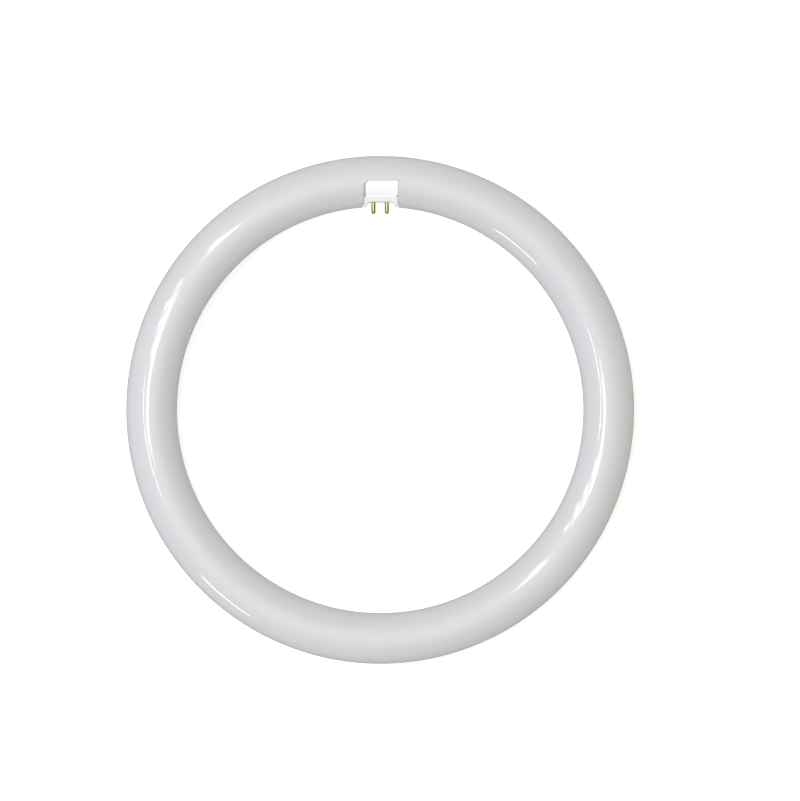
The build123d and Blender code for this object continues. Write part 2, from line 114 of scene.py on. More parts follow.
class TubeSizes(bpy.types.PropertyGroup):
    """Sizes of the pieces that are modelled here."""

    ring_radius: length("Ring radius", "From the ring's centre to the tube's", ring_high.x - ring_high.z)
    tube_radius: length("Tube radius", "Outer radius of the tube", ring_high.z)
    wall: length("Cover wall", "Wall thickness of the two covers", 1.5 * MM)
    seam_edge: length("Seam edge", "Rounding of the covers' edges where they meet", 0.15 * MM)
    window_left: length("Window, left", "From the base's middle to the window's left side", 9.66 * MM)
    window_right: length("Window, right", "From the base's middle to the window's right side", 10.76 * MM)
    open_gap: length("Open gap", "Between the saddle and the window's left side", 1.2 * MM)
    window_top: length("Window, top", "From the ring's centre to the top of the window", 135.4 * MM)
    window_chamfer: length("Window chamfer", "Cut corner at the window's upper left", 2.3 * MM)
    window_flare: length("Window flare", "Added width on the left at the ring's inner side", 0.6 * MM)
    lip_line: length("Lip line", "From the ring's centre to where carrier and saddle meet", 126.3 * MM)
    lip_height: length("Lip height", "How far the rear cover's lips stand past the seam", 2.0 * MM)
    lip_root: length("Lip root", "How far the lips reach down inside the rear cover", 4.0 * MM)
    lip_thickness: length("Lip thickness", "Thickness of the rear cover's lips", 0.8 * MM)
    play: length("Play", "Gap between the lips and the front cover", 0.1 * MM)
    flange_reach: length("Flange reach", "Room beside the window for the saddle's flange", 2.1 * MM)
    boss_radius: length("Boss radius", "Round posts under the screws", 2.5 * MM)
    pilot_radius: length("Pilot hole", "Radius of the holes for the screws", 1.05 * MM)
    pilot_depth: length("Pilot depth", "Depth of the holes for the screws", 4.3 * MM)
    rib_thickness: length("Rib thickness", "Plates across the tube at the bosses", 1.2 * MM)
    rib_reach: length("Rib reach", "Half the width of a rib", 8.0 * MM)
    rib_height: length("Rib height", "From the inside of the wall to the top of a rib", 6.0 * MM)
    pin_radius: length("Pin radius", "Radius of a contact pin", 1.2 * MM)
    pin_length: length("Pin length", "From the plate to the domed tip", 6.9 * MM)
    pin_edge: length("Pin edge", "Rounding of the turned edges", 0.08 * MM)
    plate: length("Plate", "Thickness of the plate that holds the pins", 2.0 * MM)
    shoulder_radius: length("Shoulder radius", "Radius of a pin inside the plate", 1.4 * MM)
    collar_radius: length("Collar radius", "Radius of the collar behind the plate", 1.7 * MM)
    collar: length("Collar", "Thickness of the collar", 0.8 * MM)
    cup_radius: length("Cup radius", "Radius of the bore that takes the lead", 0.65 * MM)
    cup_depth: length("Cup depth", "Depth of the bore that takes the lead", 2.0 * MM)
    lens_recess: length("Lens recess", "Least depth of a package's lens under its case", 0.06 * MM)
    coil_flange: length("Coil flange", "Thickness of the inductor's two flanges", 0.8 * MM)


class TubeColours(bpy.types.PropertyGroup):
    """Colours of the finishes."""

    cover: colour("Cover", "Milky plastic of the two covers", (0.621, 0.611, 0.639))
    base: colour("Base", "White plastic of the base", (0.905, 0.905, 0.915))
    brass: colour("Brass", "Metal of the contact pins", (0.36, 0.345, 0.12))
    zinc: colour("Zinc", "Metal of the screws", (0.66, 0.67, 0.69))
    tin: colour("Tin", "Jumper wires and solder", (0.72, 0.72, 0.71))
    aluminium: colour("Aluminium", "Bare metal of the curved boards", (0.72, 0.73, 0.74))
    board: colour("White mask", "Mask on top of the curved boards", (0.82, 0.83, 0.82))
    case: colour("Case", "Case of the light emitting packages", (0.84, 0.84, 0.82))
    lens: colour("Lens", "Yellow lens of the light emitting packages", (0.90, 0.62, 0.08))
    mask: colour("Green mask", "Solder mask of the driver board", (0.012, 0.115, 0.035))
    fuse: colour("Fuse resistor", "Its grey green coat", (0.13, 0.21, 0.16))
    varistor: colour("Varistor", "Its blue dipped coat", (0.012, 0.065, 0.34))
    film: colour("Film capacitor", "Its yellow case", (0.62, 0.36, 0.02))
    moulding: colour("Black moulding", "Rectifier and controller chip", (0.012, 0.012, 0.014))
    sleeve: colour("Sleeve", "Shrunk sleeve of the round capacitors", (0.014, 0.014, 0.018))
    core: colour("Core", "Core and flanges of the inductor", (0.035, 0.032, 0.03))
    wire: colour("Wire", "Enamelled wire of the inductor", (0.32, 0.10, 0.035))
    white_lead: colour("White lead", "Insulation of the pins' leads", (0.80, 0.80, 0.77))
    black_lead: colour("Black lead", "Insulation of the negative lead", (0.02, 0.02, 0.022))
    red_lead: colour("Red lead", "Insulation of the positive lead", (0.42, 0.012, 0.01))
    floor: colour("Floor", "Paper under the tube", (0.80, 0.80, 0.80))


class TubeStudio(bpy.types.PropertyGroup):
    """The light, the floor and the camera."""

    strips: amount("Strips", "Brightness of the long soft boxes", 5.8)
    strip_tint: colour("Strip tint", "Tint of the long soft boxes", (0.94, 0.96, 1.0))
    overhead_light: amount("Overhead", "Brightness straight above", 1.83)
    overhead_focus: amount("Overhead focus", "Higher is a smaller light", 3.7)
    room_light: amount("Room", "Brightness from all round", 0.48)
    cool_side: colour("Cool side", "Tint of the room's light from the left", (0.01, 0.025, 0.035))
    warm_side: colour("Warm side", "Tint of the room's light from the right", (0.83, 0.82, 0.65))
    backdrop: colour("Backdrop", "What the camera sees past the floor", (0.9, 0.91, 0.92))
    floor_glow: amount("Floor glow", "Keeps shadows on the paper pale", 0.45)
    lens: FloatProperty(name="Lens", description="Focal length", default=400.0, min=1.0, unit="CAMERA")
    view_height: length("View height", "Height of the camera's frame at the ring", 473.15 * MM)
    view_right: length("View, right", "From the ring's centre to the frame's middle", 11.71 * MM)
    view_up: length("View, up", "From the ring's centre to the frame's middle", 5.53 * MM)


# Modelling


def deselect_all():
    if bpy.context.object and bpy.context.object.mode != "OBJECT":
        bpy.ops.object.mode_set(mode="OBJECT")
    bpy.ops.object.select_all(action="DESELECT")


def take(obj):
    """Makes an object the only one that is selected, and the active one."""
    deselect_all()
    obj.select_set(True)
    bpy.context.view_layer.objects.active = obj


def name_new(name):
    """Names the object that was just added, and its mesh."""
    obj = bpy.context.object
    obj.name = name
    obj.data.name = name
    return obj


def freeze(obj):
    """Puts an object's place and size in its mesh."""
    take(obj)
    bpy.ops.object.transform_apply(location=True, rotation=True, scale=True)


def edit(obj):
    take(obj)
    bpy.ops.object.mode_set(mode="EDIT")


def leave_edit():
    bpy.ops.object.mode_set(mode="OBJECT")


def cut(obj, point, normal, fill=True):
    """Takes away what lies in front of a plane."""
    edit(obj)
    bpy.ops.mesh.select_all(action="SELECT")
    bpy.ops.mesh.bisect(plane_co=point, plane_no=normal, use_fill=fill, clear_outer=True)
    leave_edit()


def score(obj, point, normal):
    """Adds a row of edges where a plane meets the surface."""
    edit(obj)
    bpy.ops.mesh.select_all(action="SELECT")
    bpy.ops.mesh.bisect(plane_co=point, plane_no=normal)
    leave_edit()


def select_in_edit(obj, kind, test):
    """Goes into edit mode with only those parts selected that pass a test."""
    edit(obj)
    bpy.ops.mesh.select_all(action="DESELECT")
    bpy.ops.mesh.select_mode(type=kind)
    mesh = bmesh.from_edit_mesh(obj.data)
    parts = {"VERT": mesh.verts, "EDGE": mesh.edges, "FACE": mesh.faces}[kind]
    chosen = [part for part in parts if test(part)]
    if not chosen:
        raise RuntimeError(f"nothing to select on {obj.name}")
    for part in chosen:
        part.select_set(True)
    mesh.select_flush_mode()
    bmesh.update_edit_mesh(obj.data)


def extrude(x, y, z):
    """Draws out what is selected in edit mode."""
    bpy.ops.mesh.extrude_region_move(TRANSFORM_OT_translate={"value": (x, y, z)})


def bevel_edges(obj, test, width, segments=2):
    """Rounds the edges that pass a test."""
    select_in_edit(obj, "EDGE", test)
    bpy.ops.mesh.bevel(offset=width, segments=segments, affect="EDGES", clamp_overlap=True)
    leave_edit()


def box_between(name, low, high):
    """A box from its lowest to its highest corner."""
    deselect_all()
    middle = [(a + b) / 2 for a, b in zip(low, high)]
    bpy.ops.mesh.primitive_cube_add(size=1, location=middle, scale=[b - a for a, b in zip(low, high)])
    box = name_new(name)
    freeze(box)
    return box


def moved_copy(obj, name, move):
    take(obj)
    bpy.ops.object.duplicate()
    copy = name_new(name)
    bpy.ops.transform.translate(value=move)
    freeze(copy)
    return copy


def turned_copy(obj, angle):
    """A copy that is turned clockwise about the ring's axis, seen from the front."""
    take(obj)
    bpy.ops.object.duplicate()
    copy = bpy.context.object
    copy.rotation_euler.z = -angle
    freeze(copy)
    return copy


def merge_objects(parts, name):
    """Joins separate solids in one object."""
    deselect_all()
    for part in parts:
        part.select_set(True)
    bpy.context.view_layer.objects.active = parts[0]
    bpy.ops.object.join()
    return name_new(name)


def apply_modifier(obj, kind, **settings):
    take(obj)
    modifier = obj.modifiers.new(kind.title(), kind)
    for key, value in settings.items():
        setattr(modifier, key, value)
    bpy.ops.object.modifier_apply(modifier=modifier.name)


def combine(obj, other, operation):
    """Adds, takes away or keeps what is shared with another object, which is then removed."""
    apply_modifier(obj, "BOOLEAN", operation=operation, solver="EXACT", object=other)
    bpy.data.objects.remove(other)
    if not obj.data.polygons:
        raise RuntimeError(f"{obj.name} has no faces left")


def weld(obj):
    """Closes the hairline gaps that cuts and joints can leave."""
    edit(obj)
    bpy.ops.mesh.select_all(action="SELECT")
    bpy.ops.mesh.remove_doubles(threshold=WELD)
    bpy.ops.mesh.dissolve_degenerate(threshold=WELD)
    bpy.ops.mesh.select_all(action="SELECT")
    bpy.ops.mesh.fill_holes(sides=8)
    leave_edit()


def smooth(obj, degrees=35):
    """Shades a closed piece smooth, apart from edges that turn more than an angle."""
    weld(obj)
    take(obj)
    bpy.ops.object.shade_smooth_by_angle(angle=math.radians(degrees))


def hand_over(obj, nodes, material):
    """A finished piece takes the place of its CAD nodes."""
    obj.data.materials.clear()
    obj.data.materials.append(material)
    freeze(obj)
    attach(obj, BODY)
    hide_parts(*nodes)


def dress(nodes, material):
    """A CAD node keeps its shape and gets a finish."""
    for name in nodes:
        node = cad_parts[name]
        for place in node.material_slots:
            place.material = material


# Nodes of materials and of the world


def add_node(owner, kind, sockets=None, **settings):
    """Adds a node; each of its sockets named here gets a value or another node's output."""
    node = owner.node_tree.nodes.new(kind)
    for key, value in settings.items():
        setattr(node, key, value)
    for key, value in (sockets or {}).items():
        if isinstance(value, bpy.types.NodeSocket):
            owner.node_tree.links.new(value, node.inputs[key])
        else:
            node.inputs[key].default_value = value
    return node


def calculate(owner, operation, first, second):
    return add_node(owner, "ShaderNodeMath", {0: first, 1: second}, operation=operation).outputs["Value"]


def above(owner, source, level):
    """1 where a value is over a level, else 0."""
    return calculate(owner, "GREATER_THAN", source, level)


def below(owner, source, level):
    """1 where a value is under a level, else 0."""
    return calculate(owner, "LESS_THAN", source, level)


def both(owner, first, second):
    return calculate(owner, "MULTIPLY", first, second)


def split(owner, source):
    """The X, Y and Z of a vector."""
    return add_node(owner, "ShaderNodeSeparateXYZ", {"Vector": source}).outputs


def own_place(material):
    """The piece's own coordinates, in metres."""
    return add_node(material, "ShaderNodeTexCoord").outputs["Object"]


def facing_up(material):
    """1 on the surfaces that look up, else 0."""
    surface = add_node(material, "ShaderNodeNewGeometry")
    return above(material, split(material, surface.outputs["Normal"])["Z"], UPWARD)


def object_noise(material, scale, detail=2.0, stretch=(1, 1, 1)):
    """Noise on the piece's own coordinates; scale is in cells per metre."""
    mapping = add_node(material, "ShaderNodeMapping", {"Vector": own_place(material), "Scale": stretch})
    sockets = {"Vector": mapping.outputs["Vector"], "Scale": scale, "Detail": detail}
    return add_node(material, "ShaderNodeTexNoise", sockets).outputs["Fac"]


# Finishes

GLOSS_GRAIN = 1.7  # how much finer than the colour's grain
RELIEF_GRAIN = 2.3


def new_material(name):
    material = bpy.data.materials.new(name)
    material.use_nodes = True
    shader = material.node_tree.nodes["Principled BSDF"]
    return material, shader


def feed(material, source, shader, socket):
    """Joins a node's output to one of the shader's sockets."""
    material.node_tree.links.new(source, shader.inputs[socket])


def mottled(material, factor, base, spread):
    """A colour that is a little darker and lighter from place to place."""
    ramp = add_node(material, "ShaderNodeValToRGB", {"Fac": factor})
    dark, light = ramp.color_ramp.elements
    dark.position, light.position = 0.3, 0.7
    dark.color = [channel * (1 - spread) for channel in base] + [1]
    light.color = [min(1, channel * (1 + spread)) for channel in base] + [1]
    return ramp.outputs["Color"]


def vary_colour(material, shader, factor, base, spread):
    feed(material, mottled(material, factor, base, spread), shader, "Base Color")


def blend_colours(material, shader, factor, low, high, spread=0.05):
    """Low where the factor is 0 and high where it is 1, both slightly mottled."""
    grain = object_noise(material, 1800)
    sockets = {
        "Factor": factor,
        "A": mottled(material, grain, low, spread),
        "B": mottled(material, grain, high, spread),
    }
    mix = add_node(material, "ShaderNodeMix", sockets, data_type="RGBA")
    feed(material, mix.outputs["Result"], shader, "Base Color")


def vary_roughness(material, shader, factor, low, high):
    span = add_node(material, "ShaderNodeMapRange", {"Value": factor, "To Min": low, "To Max": high})
    feed(material, span.outputs["Result"], shader, "Roughness")


def add_bump(material, shader, factor, depth):
    """Small relief; depth is in metres."""
    bump = add_node(material, "ShaderNodeBump", {"Height": factor, "Strength": 1.0, "Distance": depth})
    feed(material, bump.outputs["Normal"], shader, "Normal")


def plastic(name, base, roughness, spread, grain, relief=0.0, specular=0.5):
    """Plain plastic, lacquer or paper; grain is in cells per metre and relief in metres."""
    material, shader = new_material(name)
    shader.inputs["Specular IOR Level"].default_value = specular
    vary_colour(material, shader, object_noise(material, grain), base, spread)
    vary_roughness(material, shader, object_noise(material, grain * GLOSS_GRAIN), *roughness)
    if relief:
        add_bump(material, shader, object_noise(material, grain * RELIEF_GRAIN), relief)
    return material


def metal(name, base, roughness, grain):
    """Plated metal with a fine, even tooth; grain is in cells per metre."""
    material, shader = new_material(name)
    shader.inputs["Metallic"].default_value = 1.0
    tooth = object_noise(material, grain, detail=3.0)
    vary_colour(material, shader, tooth, base, spread=0.06)
    vary_roughness(material, shader, tooth, *roughness)
    add_bump(material, shader, tooth, depth=2 * MICRON)
    return material


def brass(base):
    """Turned metal: fine rings round the pin's length, a little tarnish."""
    material, shader = new_material("brass")
    shader.inputs["Metallic"].default_value = 1.0
    rings = object_noise(material, 1500, stretch=(0.05, 8, 0.05))
    tarnish = object_noise(material, 900, detail=3.0)
    vary_colour(material, shader, tarnish, base, spread=0.12)
    vary_roughness(material, shader, rings, low=0.22, high=0.34)
    add_bump(material, shader, rings, depth=1.5 * MICRON)
    return material


def milky_cover(base):
    """Smooth moulded diffuser: soft, evenly milky, with a faint waviness in its gloss."""
    material, shader = new_material("milky cover")
    clouds = object_noise(material, 60)
    polish = object_noise(material, 350)
    waves = object_noise(material, 600, detail=1.0)
    vary_colour(material, shader, clouds, base, spread=0.006)
    vary_roughness(material, shader, polish, low=0.05, high=0.08)
    add_bump(material, shader, waves, depth=12 * MICRON)
    return material


def base_finish(sizes, colours):
    """White plastic; where the saddle's flange shows through the open gap on its left, the covers' milky
    grey is painted on as shade.
    """
    material, shader = new_material("white plastic")
    place = split(material, own_place(material))
    # Painted shade: the flange left of the saddle and past the lip line takes the covers' grey, standing in
    # for the shadow inside the gap.
    left = below(material, place["X"], sizes.open_gap - sizes.window_left - CLOSE)
    flange = both(material, left, above(material, place["Y"], sizes.lip_line))
    blend_colours(material, shader, flange, colours.base, colours.cover, spread=0.008)
    vary_roughness(material, shader, object_noise(material, 1200), low=0.16, high=0.22)
    add_bump(material, shader, object_noise(material, 1600), depth=1.5 * MICRON)
    return material


def board_finish(aluminium, mask):
    """Curved board: white mask on top, bare metal on its edges and underside."""
    material, shader = new_material("masked aluminium")
    top = facing_up(material)
    blend_colours(material, shader, top, aluminium, mask)
    feed(material, calculate(material, "SUBTRACT", 1.0, top), shader, "Metallic")
    vary_roughness(material, shader, object_noise(material, 2500), low=0.35, high=0.5)
    add_bump(material, shader, object_noise(material, 5000), depth=3 * MICRON)
    return material


def package_finish(case, lens, recess):
    """Light emitting package: white case and a yellow lens in its round recess."""
    material, shader = new_material("led package")
    under_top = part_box("leds_1")[1].z - recess
    low = below(material, split(material, own_place(material))["Z"], under_top)
    blend_colours(material, shader, both(material, low, facing_up(material)), case, lens)
    vary_roughness(material, shader, object_noise(material, 3000), low=0.25, high=0.4)
    return material


def green_board_finish(mask):
    """Driver board: green mask, slightly paler and raised over its tracks."""
    material, shader = new_material("green board")
    cells = {"Vector": own_place(material), "Scale": 420}
    tracks = add_node(material, "ShaderNodeTexVoronoi", cells, feature="F1", distance="CHEBYCHEV")
    ramp = add_node(material, "ShaderNodeValToRGB", {"Fac": tracks.outputs["Distance"]})
    track, gap = ramp.color_ramp.elements
    track.position, gap.position = 0.42, 0.46
    track.color = [channel * 1.5 for channel in mask] + [1]
    gap.color = [*mask, 1]
    feed(material, ramp.outputs["Color"], shader, "Base Color")
    vary_roughness(material, shader, object_noise(material, 1500), low=0.28, high=0.42)
    add_bump(material, shader, ramp.outputs["Color"], depth=30 * MICRON)
    return material


def coil_finish(core, wire, flange):
    """Inductor: enamelled wire in even turns between two dark flanges."""
    material, shader = new_material("coil")
    place = own_place(material)
    level = split(material, place)["Z"]
    over = above(material, level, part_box("driver_board")[1].z + flange)
    under = below(material, level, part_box("inductor")[1].z - flange)
    winding = both(material, over, under)
    blend_colours(material, shader, winding, core, wire)
    vary_roughness(material, shader, object_noise(material, 2500), low=0.3, high=0.5)
    rows = {"Vector": place, "Scale": 1100, "Distortion": 0.4}
    turns = add_node(material, "ShaderNodeTexWave", rows, bands_direction="Z", wave_profile="SIN")
    add_bump(material, shader, both(material, winding, turns.outputs["Fac"]), depth=0.1 * MM)
    return material


# Covers


def half_tube(name, side, sizes):
    """Half of the ring's wall; side is 1 for the front and -1 for the rear."""
    deselect_all()
    bpy.ops.mesh.primitive_torus_add(
        major_radius=sizes.ring_radius,
        minor_radius=sizes.tube_radius,
        major_segments=RING_SEGMENTS,
        minor_segments=TUBE_SEGMENTS,
    )
    half = name_new(name)
    cut(half, (0, 0, 0), (0, 0, -side), fill=False)
    apply_modifier(half, "SOLIDIFY", thickness=sizes.wall, offset=-1, use_even_offset=True)

    # The wall's rim is laid flat in the plane of the seam.
    select_in_edit(half, "VERT", lambda vert: abs(vert.co.z) < sizes.seam_edge)
    bpy.ops.transform.resize(value=(1, 1, 0), center_override=(0, 0, 0))
    leave_edit()
    reach = sizes.tube_radius - CLOSE

    def at_seam(edge):
        ends = [vert.co for vert in edge.verts]
        return all(abs(end.z) < CLOSE and abs(end.xy.length - sizes.ring_radius) > reach for end in ends)

    bevel_edges(half, at_seam, sizes.seam_edge)
    return half


def window_block(sizes):
    """The space of the window through both covers."""
    low_y = sizes.ring_radius - 2 * sizes.tube_radius
    block = box_between(
        "window_block",
        (-sizes.window_left, low_y, -2 * sizes.tube_radius),
        (sizes.window_right, sizes.window_top, 2 * sizes.tube_radius),
    )
    foot_y = sizes.ring_radius - sizes.tube_radius
    for y in (foot_y, sizes.lip_line):
        score(block, (0, y, 0), (0, 1, 0))
    select_in_edit(block, "VERT", lambda vert: vert.co.x < 0 and vert.co.y < foot_y + CLOSE)
    bpy.ops.transform.translate(value=(-sizes.window_flare, 0, 0))
    leave_edit()

    def upper_left(edge):
        return all(end.co.x < 0 and end.co.y > sizes.window_top - CLOSE for end in edge.verts)

    bevel_edges(block, upper_left, sizes.window_chamfer, segments=1)
    return block


def screw_places(node):
    """The middle of each screw in a CAD node, in the ring's plane."""
    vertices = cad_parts[node].data.vertices
    points = sorted((math.atan2(v.co.x, v.co.y), v.co.x, v.co.y) for v in vertices)
    groups = [[points[0]]]
    for before, point in zip(points, points[1:]):
        if point[0] - before[0] > SCREW_GAP:
            groups.append([])
        groups[-1].append(point)
    spans = [[(min(axis) + max(axis)) / 2 for axis in zip(*group)] for group in groups]
    return [(x, y) for _, x, y in spans]


def inner_lips(sizes):
    """The rear cover's two lips, which locate the front cover."""
    foot, top = -sizes.lip_root, sizes.lip_height
    outer = math.sqrt((sizes.tube_radius - sizes.wall) ** 2 - top**2) - sizes.play
    inner = outer - sizes.lip_thickness
    lips = []
    for side in (-1, 1):
        deselect_all()
        bpy.ops.mesh.primitive_circle_add(
            vertices=RING_SEGMENTS,
            radius=sizes.ring_radius + side * inner,
            fill_type="NOTHING",
            location=(0, 0, foot),
        )
        lip = name_new("lip")
        freeze(lip)
        edit(lip)
        bpy.ops.mesh.select_all(action="SELECT")
        extrude(0, 0, -foot)
        extrude(0, 0, top)
        leave_edit()
        apply_modifier(lip, "SOLIDIFY", thickness=sizes.lip_thickness, offset=side, use_even_offset=True)
        lips.append(lip)
    return merge_objects(lips, "lips")


def boss(place, low, high, sizes):
    """A round post with a pilot hole in its top."""
    deselect_all()
    bpy.ops.mesh.primitive_cylinder_add(
        vertices=POST_SEGMENTS,
        radius=sizes.boss_radius,
        depth=high - low,
        location=(*place, (low + high) / 2),
    )
    post = name_new("boss")
    freeze(post)
    select_in_edit(post, "FACE", lambda face: face.normal.z > FACING)
    bpy.ops.mesh.inset(thickness=sizes.boss_radius - sizes.pilot_radius)
    extrude(0, 0, -sizes.pilot_depth)
    leave_edit()
    return post


def rib(sizes):
    """A plate across the tube that follows the round of its wall."""
    deselect_all()
    bpy.ops.mesh.primitive_cylinder_add(
        vertices=TUBE_SEGMENTS,
        radius=sizes.tube_radius - sizes.wall / 2,
        depth=sizes.rib_thickness,
        location=(0, sizes.ring_radius, 0),
        rotation=(0, math.pi / 2, 0),
    )
    plate = name_new("rib")
    freeze(plate)
    cut(plate, (0, 0, sizes.rib_height + sizes.wall - sizes.tube_radius), (0, 0, 1))
    cut(plate, (0, sizes.ring_radius + sizes.rib_reach, 0), (0, 1, 0))
    cut(plate, (0, sizes.ring_radius - sizes.rib_reach, 0), (0, -1, 0))
    return plate


def board_supports(sizes):
    """A boss with a rib under every screw of the curved boards."""
    wall_middle = sizes.wall / 2 - sizes.tube_radius
    board_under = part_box("led_board_1")[0].z
    first = boss((0, sizes.ring_radius), wall_middle, board_under, sizes)
    combine(first, rib(sizes), "UNION")
    supports = [turned_copy(first, math.atan2(x, y)) for x, y in screw_places("board_screws")]
    bpy.data.objects.remove(first)
    return merge_objects(supports, "supports")


def driver_supports(sizes):
    """The two posts of the driver board, which end inside the wall."""
    board_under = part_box("driver_board")[0].z
    posts = [boss(place, -sizes.tube_radius, board_under, sizes) for place in screw_places("driver_screws")]
    posts = merge_objects(posts, "posts")
    deselect_all()
    bpy.ops.mesh.primitive_torus_add(
        major_radius=sizes.ring_radius,
        minor_radius=sizes.tube_radius - sizes.wall / 2,
        major_segments=RING_SEGMENTS,
        minor_segments=64,
    )
    combine(posts, name_new("inside_of_wall"), "INTERSECT")
    return posts


class LEDTUBE_OT_front_cover(bpy.types.Operator):
    """Models the half shell that gives the light"""

    bl_idname = "ledtube.front_cover"
    bl_label = "Front cover"

    def execute(self, context):
        sizes = context.scene.tube_sizes
        cover = half_tube("ring_front", 1, sizes)
        combine(cover, window_block(sizes), "DIFFERENCE")
        smooth(cover)
        hand_over(cover, ["front_cover"], milky_cover(context.scene.tube_colours.cover))
        return {"FINISHED"}


class LEDTUBE_OT_rear_cover(bpy.types.Operator):
    """Models the half shell that carries the boards on its bosses"""

    bl_idname = "ledtube.rear_cover"
    bl_label = "Rear cover"

    def execute(self, context):
        sizes = context.scene.tube_sizes
        cover = half_tube("ring_rear", -1, sizes)
        lips = inner_lips(sizes)
        reach = sizes.flange_reach
        room = box_between(
            "flange_room",
            (-sizes.window_left - reach, sizes.ring_radius - 2 * sizes.tube_radius, -sizes.tube_radius),
            (sizes.window_right + reach, sizes.ring_radius, sizes.tube_radius),
        )
        combine(lips, room, "DIFFERENCE")
        combine(cover, lips, "UNION")
        combine(cover, board_supports(sizes), "UNION")
        combine(cover, driver_supports(sizes), "UNION")
        combine(cover, window_block(sizes), "DIFFERENCE")
        smooth(cover)
        hand_over(cover, ["rear_cover"], milky_cover(context.scene.tube_colours.cover))
        return {"FINISHED"}


# Base and pins


def contact_pin(low, high, sizes):
    """A pin along Y: domed tip, shoulder in the plate, collar behind it and a solder cup."""
    face_y = low.y + sizes.pin_length
    middle = (low + high) / 2
    deselect_all()
    bpy.ops.mesh.primitive_cylinder_add(
        vertices=PIN_SEGMENTS,
        radius=sizes.pin_radius,
        depth=sizes.pin_length,
        location=(middle.x, low.y + sizes.pin_length / 2, middle.z),
        rotation=(math.pi / 2, 0, 0),
    )
    pin = name_new("first_pin")
    freeze(pin)
    centre = (middle.x, face_y, middle.z)

    def end_face(face):
        return face.normal.y > FACING and face.calc_center_median().y > face_y - CLOSE

    select_in_edit(pin, "FACE", end_face)
    radius = sizes.pin_radius
    steps = [
        (sizes.shoulder_radius, sizes.plate),
        (sizes.collar_radius, sizes.collar),
        (sizes.shoulder_radius, high.y - face_y - sizes.plate - sizes.collar),
    ]
    for wider, along in steps:
        extrude(0, 0, 0)
        bpy.ops.transform.resize(value=(wider / radius, 1, wider / radius), center_override=centre)
        extrude(0, along, 0)
        radius = wider
    bpy.ops.mesh.inset(thickness=sizes.shoulder_radius - sizes.cup_radius)
    extrude(0, -sizes.cup_depth, 0)
    leave_edit()

    def tip(edge):
        return all(end.co.y < low.y + CLOSE for end in edge.verts)

    bevel_edges(pin, tip, sizes.pin_radius * TIP_ROUNDING, TIP_SEGMENTS)

    def crisp(edge):
        ends = [end.co for end in edge.verts]
        level = abs(ends[0].y - ends[1].y) < CLOSE and ends[0].y > face_y + CLOSE
        return level and edge.calc_face_angle(0) > SHARP

    bevel_edges(pin, crisp, sizes.pin_edge)
    return pin


class LEDTUBE_OT_base(bpy.types.Operator):
    """Finishes the base's saddle and pin carrier"""

    bl_idname = "ledtube.base"
    bl_label = "Base"

    def execute(self, context):
        material = base_finish(context.scene.tube_sizes, context.scene.tube_colours)
        dress(["base_saddle", "pin_carrier"], material)
        return {"FINISHED"}


class LEDTUBE_OT_pins(bpy.types.Operator):
    """Models the turned contact pins"""

    bl_idname = "ledtube.pins"
    bl_label = "Contact pins"

    def execute(self, context):
        sizes = context.scene.tube_sizes
        material = brass(context.scene.tube_colours.brass)
        first_low, first_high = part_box("contact_pin_1")
        first = contact_pin(first_low, first_high, sizes)
        for index in range(1, 5):
            low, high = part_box(f"contact_pin_{index}")
            move = (low + high - first_low - first_high) / 2
            pin = moved_copy(first, f"pin_{index}", move)
            smooth(pin)
            hand_over(pin, [f"contact_pin_{index}"], material)
        bpy.data.objects.remove(first)
        return {"FINISHED"}


# Boards, driver, leads and screws


class LEDTUBE_OT_boards(bpy.types.Operator):
    """Finishes the curved boards, their packages and their jumpers"""

    bl_idname = "ledtube.boards"
    bl_label = "Curved boards"

    def execute(self, context):
        sizes = context.scene.tube_sizes
        colours = context.scene.tube_colours
        rows = range(1, 5)
        packages = package_finish(colours.case, colours.lens, sizes.lens_recess)
        dress([f"led_board_{index}" for index in rows], board_finish(colours.aluminium, colours.board))
        dress([f"leds_{index}" for index in rows], packages)
        dress(["board_jumpers"], metal("tinned wire", colours.tin, roughness=(0.25, 0.4), grain=4000))
        return {"FINISHED"}


class LEDTUBE_OT_driver(bpy.types.Operator):
    """Finishes the driver board and the parts on it"""

    bl_idname = "ledtube.driver"
    bl_label = "Driver"

    def execute(self, context):
        colours = context.scene.tube_colours
        chips = ["bridge_rectifier", "controller_chip"]
        round_capacitors = ["input_capacitor", "output_capacitor"]
        coats = [
            (["fuse_resistor"], "grey green coat", colours.fuse, (0.4, 0.55), 0.1, 2500, 10),
            (["varistor"], "blue dipped coat", colours.varistor, (0.2, 0.35), 0.08, 500, 60),
            (["film_capacitor"], "yellow case", colours.film, (0.3, 0.4), 0.05, 900, 10),
            (chips, "black moulding", colours.moulding, (0.5, 0.7), 0.2, 6000, 10),
            (round_capacitors, "shrunk sleeve", colours.sleeve, (0.3, 0.42), 0.15, 800, 20),
        ]
        dress(["driver_board"], green_board_finish(colours.mask))
        for nodes, name, base, roughness, spread, grain, microns in coats:
            dress(nodes, plastic(name, base, roughness, spread, grain, microns * MICRON))
        flange = context.scene.tube_sizes.coil_flange
        dress(["inductor"], coil_finish(colours.core, colours.wire, flange))
        return {"FINISHED"}


class LEDTUBE_OT_leads(bpy.types.Operator):
    """Finishes the insulated leads"""

    bl_idname = "ledtube.leads"
    bl_label = "Leads"

    def execute(self, context):
        colours = context.scene.tube_colours
        pin_leads = [f"pin_lead_{index}" for index in range(1, 5)]
        coats = [
            (pin_leads, "white insulation", colours.white_lead, (0.45, 0.6), 0.03),
            (["led_lead_negative"], "black insulation", colours.black_lead, (0.4, 0.55), 0.1),
            (["led_lead_positive"], "red insulation", colours.red_lead, (0.4, 0.55), 0.08),
        ]
        for nodes, name, base, roughness, spread in coats:
            dress(nodes, plastic(name, base, roughness, spread, grain=1200, relief=10 * MICRON))
        return {"FINISHED"}


